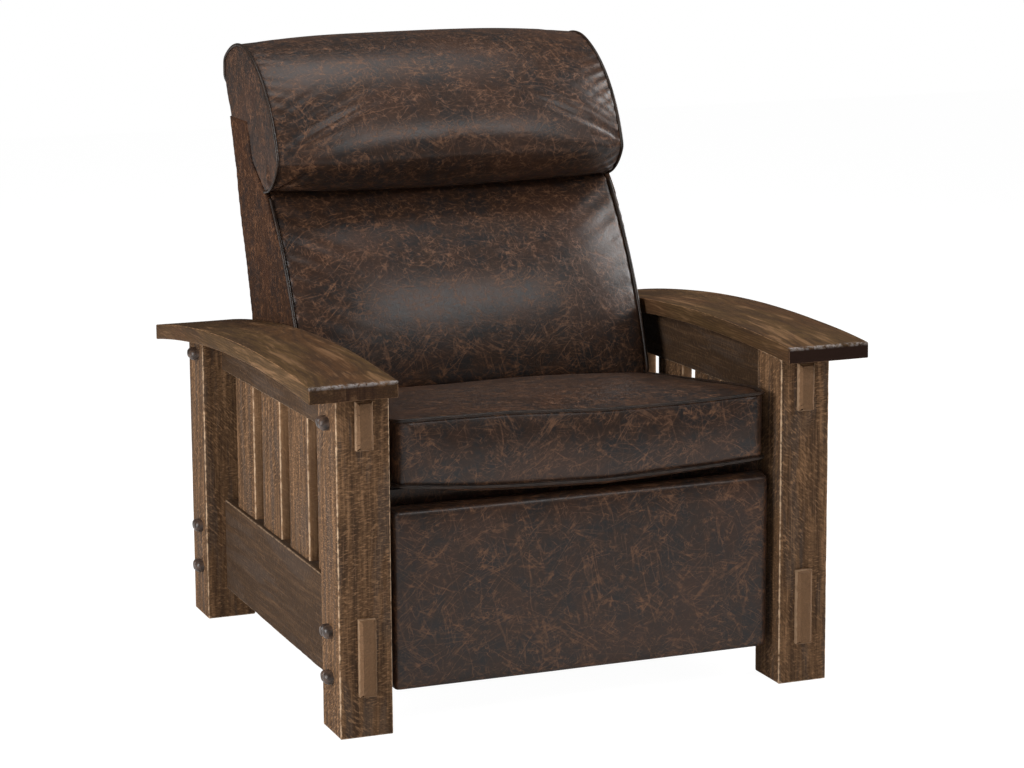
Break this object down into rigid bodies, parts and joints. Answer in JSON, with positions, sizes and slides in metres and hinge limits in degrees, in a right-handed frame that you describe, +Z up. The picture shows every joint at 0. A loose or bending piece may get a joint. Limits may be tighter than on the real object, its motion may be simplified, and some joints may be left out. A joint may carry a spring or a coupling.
{
  "type": "wall hugger recliner",
  "caption": "Bow-arm rustic timber recliner: slatted sides, dark leather seat, scroll headrest, fold-out footrest and a seat that slides forward.",
  "frame": {"origin": "on the floor, on the symmetry plane, at the middle of the overall depth", "axes": "+X to the viewer's right, -Y out of the front of the chair, +Z up"},
  "size_m": [0.973, 0.9588, 1.0429],
  "materials": {
    "rustic_timber": "matte",
    "arm_timber": "satin",
    "dark_pegs": "satin",
    "inner_timber": "matte",
    "leather": "satin",
    "leather_over_foam": "satin",
    "black_steel": "satin",
    "zinc_steel": "satin",
    "nylon": "matte",
    "elastic_webbing": "matte"
  },
  "bodies": {
    "frame": {"left_front_post": "rustic_timber", "right_front_post": "rustic_timber", "left_rear_post": "rustic_timber", "right_rear_post": "rustic_timber", "left_arm_board": "arm_timber", "right_arm_board": "arm_timber", "left_bottom_rail": "rustic_timber", "right_bottom_rail": "rustic_timber", "left_top_rail": "rustic_timber", "right_top_rail": "rustic_timber", "left_side_slats": "rustic_timber", "right_side_slats": "rustic_timber", "left_tenon_pegs": "dark_pegs", "right_tenon_pegs": "dark_pegs", "front_stretcher": "rustic_timber", "rear_stretcher": "rustic_timber", "left_slide_track": "black_steel", "right_slide_track": "black_steel", "track_screws": "zinc_steel"},
    "carriage": {"left_carriage_plate": "black_steel", "right_carriage_plate": "black_steel", "carriage_bolts": "zinc_steel", "seat_frame_screws": "zinc_steel", "glide_shoes": "nylon", "front_cross_tube": "black_steel", "rear_cross_tube": "black_steel", "seat_front_rail": "inner_timber", "seat_rear_rail": "inner_timber", "left_seat_side_rail": "inner_timber", "right_seat_side_rail": "inner_timber", "seat_springs": "zinc_steel", "seat_spring_clips": "nylon", "seat_cushion": "leather_over_foam"},
    "back": {"left_back_bracket": "black_steel", "right_back_bracket": "black_steel", "left_back_panel": "inner_timber", "right_back_panel": "inner_timber", "back_top_rail": "inner_timber", "back_bottom_rail": "inner_timber", "back_webbing": "elastic_webbing", "left_side_cover": "leather", "right_side_cover": "leather", "rear_cover": "leather", "back_cushion": "leather_over_foam", "headrest_roll": "leather_over_foam"},
    "rear_links": {"left_rear_link": "black_steel", "right_rear_link": "black_steel", "torque_tube": "black_steel"},
    "front_links": {"left_front_link": "black_steel", "right_front_link": "black_steel"},
    "rear_control_links": {"left_rear_control_link": "black_steel", "right_rear_control_link": "black_steel"},
    "front_control_links": {"left_front_control_link": "black_steel", "right_front_control_link": "black_steel"},
    "footrest": {"left_footrest_bracket": "black_steel", "right_footrest_bracket": "black_steel", "footrest_board": "inner_timber", "footrest_pad": "leather_over_foam"}
  },
  "joints": [
    {"name": "seat_slide", "type": "slide", "parent": "frame", "child": "carriage", "axis": [0, -1, 0], "range_m": [0, 0.1501]},
    {"name": "back_recline", "type": "hinge", "parent": "carriage", "child": "back", "pos_m": [0, 0.1706, 0.335], "axis": [-1, 0, 0], "range_deg": [0, 32]},
    {"name": "footrest_fold", "type": "hinge", "parent": "carriage", "child": "rear_links", "pos_m": [0, -0.1694, 0.3], "axis": [-1, 0, 0], "range_deg": [0, 68.21]},
    {"name": "front_link_fold", "type": "hinge", "parent": "rear_links", "child": "front_links", "pos_m": [0, -0.20274, 0.0876], "axis": [1, 0, 0], "range_deg": [0, 92.2]},
    {"name": "footrest_tilt", "type": "hinge", "parent": "front_links", "child": "footrest", "pos_m": [0, -0.3544, 0.24], "axis": [-1, 0, 0], "range_deg": [0, 114]},
    {"name": "rear_control_fold", "type": "hinge", "parent": "carriage", "child": "rear_control_links", "pos_m": [0, -0.2108, 0.2551], "axis": [-1, 0, 0], "range_deg": [0, 73.8]},
    {"name": "front_control_fold", "type": "hinge", "parent": "rear_links", "child": "front_control_links", "pos_m": [0, -0.15034, 0.0879], "axis": [1, 0, 0], "range_deg": [0, 88]}
  ],
  "couplings": [
    {"joint": "seat_slide", "follows": "back_recline", "m_per_rad": 0.26857},
    {"joint": "front_link_fold", "follows": "footrest_fold", "ratio": 1.3504},
    {"joint": "footrest_tilt", "follows": "footrest_fold", "ratio": 1.6699},
    {"joint": "rear_control_fold", "follows": "footrest_fold", "ratio": 1.0805},
    {"joint": "front_control_fold", "follows": "footrest_fold", "ratio": 1.2888}
  ]
}
